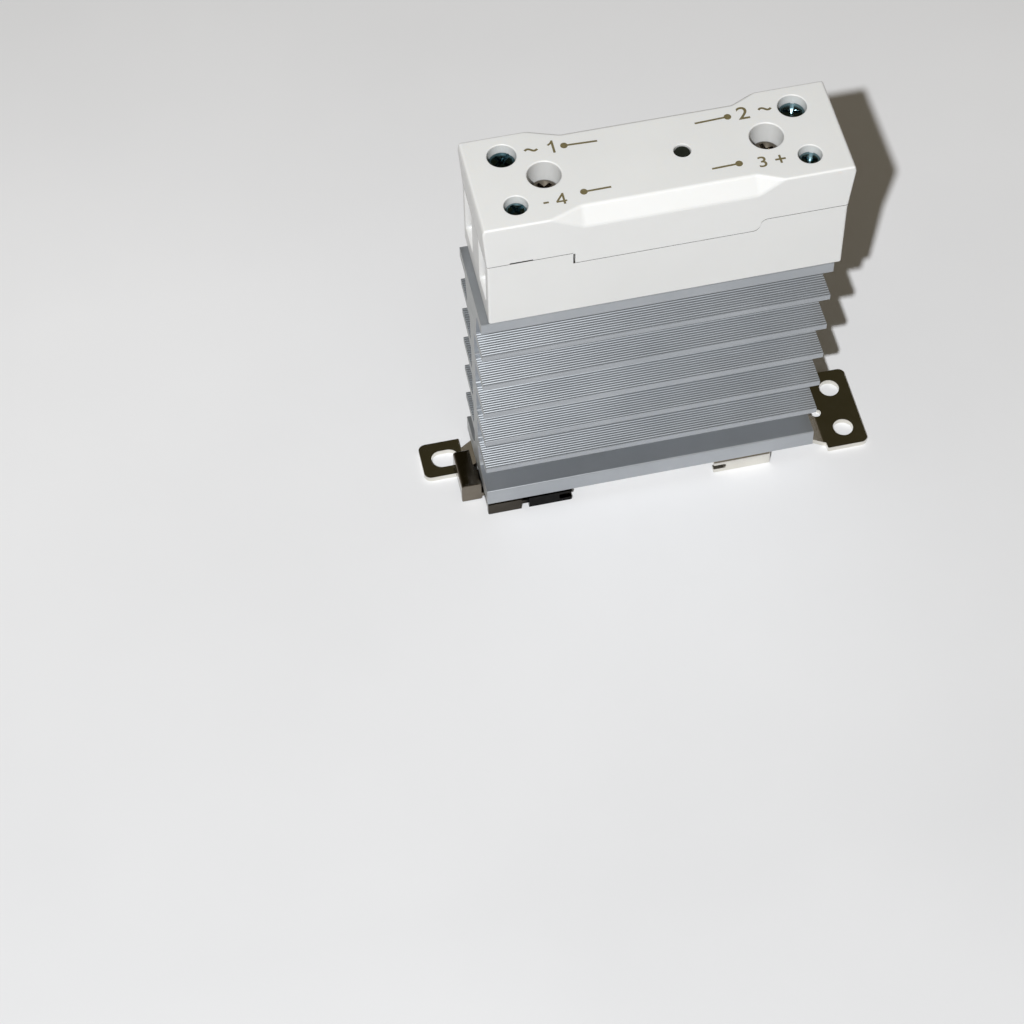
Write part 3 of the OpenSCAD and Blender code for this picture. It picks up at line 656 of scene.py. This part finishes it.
def white_plastic(name, tones):
    """Satin white plastic: faint broad mottling, a fine spark-eroded grain from the mould,
    slow sink waves, and a few grey handling specks."""
    made, tree, bsdf = new_material(name)
    mottled = ramp(tree, noise(tree, 45, 5), (0.3, tones[0]), (0.7, tones[1]))
    # painted light: upright faces are painted darker and the top painted lighter, to match the photo under this
    # lamp
    faces = face_way(tree)
    painted_face_light = scaled(tree, mottled, mapped(tree, faces["Z"], 0.1, 0.95, 0.84, 1.03))
    # painted shade: the faces inside the seam are painted nearly black, standing in for the shade of a lipped
    # joint, so that the joint reads as a dark line
    seam_shade_mask = mapped(tree, maths(tree, "ABSOLUTE", faces["Z"]), 0.3, 0.5)
    for bottom, top in ((0.0747, 0.0748), (0.0786, 0.0785)):
        within = mapped(tree, own_place(tree)["Z"], bottom, top)
        seam_shade_mask = maths(tree, "MULTIPLY", seam_shade_mask, within)
    seam_shaded = mixed(tree, seam_shade_mask, painted_face_light, (0.05, 0.047, 0.04, 1))
    specks = ramp(tree, noise(tree, 1400, 2, (4, 8, 2)), (0.76, (0, 0, 0)), (0.80, (1, 1, 1)))
    specked = mixed(tree, maths(tree, "MULTIPLY", specks, 0.22), seam_shaded, (0.62, 0.60, 0.55, 1))
    grain = node(tree, "ShaderNodeBump", Strength=1.0, Distance=2.5e-6, Height=noise(tree, 9000, 2))
    waves = node(tree, "ShaderNodeBump", Strength=1.0, Distance=2e-5, Height=noise(tree, 90, 1),
                 Normal=grain.outputs["Normal"])
    feed(bsdf, Base_Color=specked, Normal=waves.outputs["Normal"], IOR=1.52,
         Roughness=mapped(tree, noise(tree, 300, 4), 0.3, 0.7, 0.36, 0.46), Subsurface_Weight=0.12,
         Subsurface_Radius=(1.0, 0.9, 0.75), Subsurface_Scale=0.0012)
    return made


white_base = white_plastic("white_base_plastic", ((0.765, 0.765, 0.755), (0.795, 0.795, 0.785)))
# painted light: the cover's plastic is a little lighter than the base's, to brighten its top
white_cover = white_plastic("white_cover_plastic", ((0.775, 0.775, 0.765), (0.805, 0.805, 0.795)))
place(housing_base, "case_base", white_base, "white_case", "relay", "housing_base")
place(housing_cover, "case_cover", white_cover, "white_cover", "relay", "housing_cover")

# --------------------------------------------------------------------------------------
# Top marks: terminal numbers, signs and pointer lines, pad printed in ink whose olive brown tone has painted
# glare in it.
# The ink stands a hundredth of a millimetre proud.
# --------------------------------------------------------------------------------------

ink_low, ink_top = case_top - 0.02, case_top + 0.012


def stroke(x, y, width, drop=0.003):
    """A flat band of even width along a path: its two edges are the path moved to either
    side along its normal. The drop keeps its top off the tops of marks that it crosses."""
    path = np.stack([x, y], 1)
    along = np.gradient(path, axis=0)
    normal = np.stack([-along[:, 1], along[:, 0]], 1) / np.linalg.norm(along, axis=1)[:, None]
    band = np.concatenate([path + normal * width / 2, (path - normal * width / 2)[::-1]])
    return prism("stroke", band, "z", ink_low, ink_top - drop)


def numeral(text, x, y, height):
    """A numeral of the built-in typeface, centred on x, y and set to the height given."""
    curve = bpy.data.curves.new("numeral", "FONT")
    curve.body, curve.extrude, curve.offset, curve.resolution_u = text, 0.5, 0.008, 6
    source = bpy.data.objects.new("numeral", curve)
    bpy.context.scene.collection.objects.link(source)
    mesh = bpy.data.meshes.new_from_object(source.evaluated_get(bpy.context.evaluated_depsgraph_get()))
    bpy.data.objects.remove(source)
    at = np.empty(len(mesh.vertices) * 3)
    mesh.vertices.foreach_get("co", at)
    at = at.reshape(-1, 3)
    low, high = at.min(0), at.max(0)
    scale = height / (high[1] - low[1]) * np.array([1.12, 1.0])
    at[:, :2] = (at[:, :2] - ((low + high) / 2)[:2]) * scale + (x, y)
    at[:, 2] = np.where(at[:, 2] > 0, ink_top, ink_low)
    mesh.vertices.foreach_set("co", at.ravel())
    made = bpy.data.objects.new("numeral", mesh)
    bpy.context.scene.collection.objects.link(made)
    return made


marks = [numeral("2", 18.95, 6.5, 3.1), numeral("3", 19.35, -6.1, 2.6),
         stroke([-18.25, -18.25], [-7.85, -5.2], 0.40, 0.0),
         stroke([-19.72, -17.72], [-7.12, -7.12], 0.38),
         stroke([-18.22, -19.6], [-5.35, -7.08], 0.38, 0.006),
         stroke([-17.35, -17.35], [4.75, 7.85], 0.44),
         stroke([-17.35, -17.7, -18.25], [7.6, 7.15, 6.8], 0.40, 0.0)]
for x, y in ((-21.5, 6.4), (23.2, 6.6)):
    t = np.linspace(-1, 1, 25)
    marks.append(stroke(x + 1.2 * t, y - 0.30 * np.sin(np.pi * t), 0.46))
marks += [stroke([21.75, 23.75], [-6.15, -6.15], 0.42),
          stroke([22.75, 22.75], [-7.15, -6.36], 0.42),
          stroke([22.75, 22.75], [-5.94, -5.15], 0.42),
          stroke([-22.1, -21.1], [-6.85, -6.85], 0.42)]
for dot, line_end in (((-15.3, 6.1), (-9.05, 5.85)), ((15.95, 6.2), (9.6, 5.95)),
                      ((-14.3, -5.8), (-9.15, -5.75)), ((15.05, -5.55), (9.9, -5.7))):
    marks += [lathe("dot", *dot, [(0.7, ink_low), (0.7, ink_top)], 40),
              stroke([dot[0], line_end[0]], [dot[1], line_end[1]], 0.42)]


def join(first, *others):
    """Puts the others' meshes into the first one's."""
    work = bmesh.new()
    for made in (first, *others):
        work.from_mesh(made.data)
    work.to_mesh(first.data)
    work.free()
    for made in others:
        bpy.data.objects.remove(made)
    return first


marks = join(*marks)
ink, tree, bsdf = new_material("print_ink_with_painted_glare")
# partly painted light: the print is real, and its tone is lifted to olive brown by painted glare
ink_and_glare_tone = ramp(tree, noise(tree, 2500, 4), (0.30, (0.14, 0.115, 0.052)),
                (0.72, (0.21, 0.175, 0.09)))
ink_grain = node(tree, "ShaderNodeBump", Strength=1.0, Distance=2e-6, Height=noise(tree, 9000))
feed(bsdf, Base_Color=ink_and_glare_tone, Roughness=0.5, Normal=ink_grain.outputs["Normal"])
place(marks, "top_marks", ink, "white_cover", "relay")

# --------------------------------------------------------------------------------------
# Screws: cold-headed steel with rolled threads. The four terminal screws are blue zinc
# plated, with a cross recess and a slot; the two long ones are yellow bronze, on washers.
# --------------------------------------------------------------------------------------


def screw(x, y, profile, thread, cross, top, slot_deep=0.0):
    """Head and shank as rings round an upright axis. Between the heights of the thread
    the radius falls by depth times a rounded wave of (height / pitch - angle / turn). The cross is given by
    half an arm's width and an arm's reach."""
    low, high, pitch, depth = thread
    r, z = np.asarray(profile, float).T
    fine = np.arange(low, high, pitch / 10)
    heights = np.unique(np.concatenate([z, fine]))
    radius = np.interp(heights, z, r)
    a = np.linspace(0, 2 * np.pi, 48, endpoint=False)
    wave = 0.5 + 0.5 * np.cos(2 * np.pi * (heights[:, None] / pitch - a[None] / (2 * np.pi)))
    fade = np.clip((heights - low) / pitch, 0, 1) * np.clip((high - heights) / pitch, 0, 1)
    reach = radius[:, None] - depth * fade[:, None] * wave ** 1.5
    rings = np.stack([x + reach * np.cos(a), y + reach * np.sin(a),
                      np.repeat(heights[:, None], 48, 1)], -1)
    made = ring_solid("screw", rings)
    w, n = cross
    quarter = np.array([(w, w), (w, n), (-w, n), (-w, w)])
    outline = np.concatenate([
        quarter @ np.array([[np.cos(k), np.sin(k)], [-np.sin(k), np.cos(k)]])
        for k in (0, np.pi / 2, np.pi, 3 * np.pi / 2)])
    outline = outline[np.linalg.norm(outline - np.roll(outline, 1, 0), axis=1) > 1e-6]
    sizes = ((0.35, top - 1.2), (0.9, top - 0.35), (1.0, top), (1.0, top + 1))
    tools = [ring_solid("recess", [np.insert(outline * k + (x, y), 2, h, axis=1) for k, h in sizes])]
    if slot_deep:
        tools.append(box((x - 4, y - 0.38, top - slot_deep), (x + 4, y + 0.38, top + 1)))
    return combine(made, "DIFFERENCE", *tools)


def terminal_screw(x, y, r_head, r_shank, h_head, top, tip, turn, pitch):
    """One terminal screw, its slot turned by the angle given."""
    under = top - h_head
    made = screw(0, 0, [(r_shank - 0.45, tip), (r_shank - 0.05, tip + 0.45), (r_shank - 0.05, under - 0.01),
                        (r_head - 0.12, under), (r_head, under + 0.15), (r_head, top - 0.62),
                        (r_head - 0.09, top - 0.35), (r_head - 0.3, top - 0.13), (r_head - 0.62, top)],
                 (tip + 0.3, under - 0.3, pitch, 0.28 * pitch), (0.33, r_head * 0.66), top, 0.62)
    soften(made, 0.05, 1, 50)
    made.data.transform(Matrix.Translation((x, y, 0)) @ Matrix.Rotation(np.radians(turn), 4, "Z"))
    return made


# partly painted shade: the blue zinc plating is made darker than it is, for the shade inside the screw bores
zinc = metal("blue_zinc_with_painted_shade", ((0.05, 0.11, 0.13), (0.20, 0.30, 0.33)), (0.12, 0.25), 7000, 3e-6,
             1800, 0.25)
output_size = dict(r_head=2.6, r_shank=2.0, h_head=3.0, top=86.8, tip=74.0, pitch=0.7)
input_size = dict(r_head=2.1, r_shank=1.5, h_head=2.6, top=87.0, tip=73.6, pitch=0.5)
for name, side_x, side_y, turn, size in (
        ("output_screw_1", -1, 1, 38, output_size), ("output_screw_2", 1, 1, 72, output_size),
        ("input_screw_3", 1, -1, 64, input_size), ("input_screw_4", -1, -1, 25, input_size)):
    made = terminal_screw(case_x + side_x * term_x, side_y * term_y, turn=turn, **size)
    place(made, name + "_visual", zinc, "zinc_screw", name, name)

long_screws = []
for s, turn in ((-1, 33), (1, 12)):
    made = screw(0, 0, [(1.5, 54), (1.98, 54.5), (1.98, 82.29), (2.75, 82.3), (2.9, 82.45), (2.9, 83.3),
                        (2.78, 83.75), (2.45, 84.08), (1.9, 84.3)], (54.3, 68, 0.7, 0.22), (0.4, 1.75), 84.3)
    soften(made, 0.05, 1, 50)
    made.data.transform(Matrix.Translation((case_x + s * mount_x, 0, 0))
                        @ Matrix.Rotation(np.radians(turn), 4, "Z"))
    long_screws.append(made)
bronze = metal("bronze_plate", ((0.06, 0.05, 0.04), (0.24, 0.21, 0.17)), (0.12, 0.26), 7000, 3e-6,
               1800, 0.25)
place(join(*long_screws), "long_screws", bronze, "bronze_screw", "relay", "mounting_screws")

washers = []
for s in (-1, 1):
    ring = lathe("washer", case_x + s * mount_x, 0,
                 [(2.95, 81.5), (3.08, 81.62), (3.08, 82.18), (2.95, 82.3)])
    hole = lathe("hole", case_x + s * mount_x, 0, [(2.05, 80), (2.05, 83)])
    washers.append(combine(ring, "DIFFERENCE", hole))
place(join(*washers), "screw_washers", bronze, "bronze_screw", "relay", "mounting_washers")

# --------------------------------------------------------------------------------------
# Status lamp: a moulded dark lens that ends just under the top, on two wires from the board.
# --------------------------------------------------------------------------------------

lens = lathe("lens", lamp_x, 0, [(1.75, 81.6), (1.75, 82.4), (1.5, 82.4), (1.5, 87.7),
                                 (1.42, 87.87), (1.2, 87.95)])
legs = [lathe("leg", lamp_x + s * 0.8, 0, [(0.25, 74.6), (0.25, 81.7)], 24) for s in (-1, 1)]
dark_lens, tree, bsdf = new_material("dark_lens")
lens_tone = ramp(tree, noise(tree, 500), (0.3, (0.012, 0.014, 0.012)), (0.7, (0.02, 0.024, 0.018)))
feed(bsdf, Base_Color=lens_tone, Roughness=0.12, Coat_Weight=0.5)
place(join(lens, *legs), "status_lamp", dark_lens, "led_lens", "relay", "status_led")

# --------------------------------------------------------------------------------------
# Insides: clamp cages and straps behind the wire entries, and under the cover the base
# plate with its ceramic, dies and circuit board. All are shown with the CAD's own shapes.
# --------------------------------------------------------------------------------------


def dull(name, tones, rough, grain, depth):
    """Plain non-metal finish: two tones over broad patches, uneven roughness and grain."""
    made, tree, bsdf = new_material(name)
    tone = ramp(tree, noise(tree, 150, 4), (0.3, tones[0]), (0.7, tones[1]))
    uneven = mapped(tree, noise(tree, 700, 3), 0.3, 0.7, rough - 0.06, rough + 0.06)
    bump = node(tree, "ShaderNodeBump", Strength=1.0, Distance=depth, Height=noise(tree, grain, 2))
    feed(bsdf, Base_Color=tone, Roughness=uneven, Normal=bump.outputs["Normal"])
    return made


cage_zinc = metal("cage_zinc", ((0.56, 0.56, 0.53), (0.66, 0.66, 0.62)), (0.24, 0.38), 5000, 4e-6,
                  (2500, 2500, 400), 0.3)
tinned = metal("tinned_copper", ((0.68, 0.52, 0.40), (0.78, 0.62, 0.50)), (0.25, 0.4), 5000, 3e-6,
               (300, 3000, 3000), 0.2)
blade_tin = metal("tinned_blade", ((0.66, 0.65, 0.60), (0.76, 0.75, 0.70)), (0.25, 0.4), 5000, 3e-6,
                  (300, 3000, 3000), 0.2)
plate_nickel = metal("base_plate_nickel", ((0.60, 0.60, 0.61), (0.70, 0.70, 0.71)), (0.28, 0.42), 5000, 3e-6,
                     (2000, 200, 2000), 0.2)
bare_copper = metal("bare_copper", ((0.62, 0.33, 0.20), (0.76, 0.44, 0.29)), (0.3, 0.45), 5000, 3e-6,
                    1500, 0.2)
pin_metal = metal("pin_metal", ((0.68, 0.58, 0.34), (0.78, 0.68, 0.42)), (0.25, 0.38), 5000, 2e-6,
                  (2500, 2500, 300), 0.2)
for node_name, finish in (
        ("output_cage_1", cage_zinc), ("output_cage_2", cage_zinc), ("input_cage_3", cage_zinc),
        ("input_cage_4", cage_zinc), ("output_bar_1", tinned), ("output_bar_2", tinned),
        ("input_blade_3", blade_tin), ("input_blade_4", blade_tin), ("module_plate", plate_nickel),
        ("substrate_copper", bare_copper), ("gate_pins", pin_metal),
        ("thermal_pad", dull("thermal_film", ((0.66, 0.67, 0.66), (0.74, 0.75, 0.74)), 0.7, 6000, 6e-6)),
        ("substrate", dull("alumina", ((0.80, 0.79, 0.75), (0.85, 0.84, 0.80)), 0.45, 8000, 3e-6)),
        ("thyristor_dies", dull("silicon", ((0.16, 0.18, 0.22), (0.21, 0.23, 0.27)), 0.25, 8000, 1e-6)),
        ("control_board", dull("board_green", ((0.02, 0.11, 0.05), (0.03, 0.15, 0.07)), 0.35, 2500, 6e-6)),
        ("optocoupler", dull("moulded_black", ((0.015, 0.015, 0.017), (0.03, 0.03, 0.033)), 0.55, 8000, 4e-6)),
        ("board_resistors", dull("resistor_lacquer", ((0.50, 0.38, 0.20), (0.60, 0.47, 0.27)), 0.35, 3000, 8e-6)),
        ("snubber_capacitor", dull("brown_dip", ((0.26, 0.10, 0.03), (0.34, 0.14, 0.05)), 0.25, 800, 3e-5)),
        ("varistor", dull("blue_dip", ((0.02, 0.07, 0.26), (0.03, 0.10, 0.34)), 0.3, 800, 3e-5))):
    carry(node_name, finish)
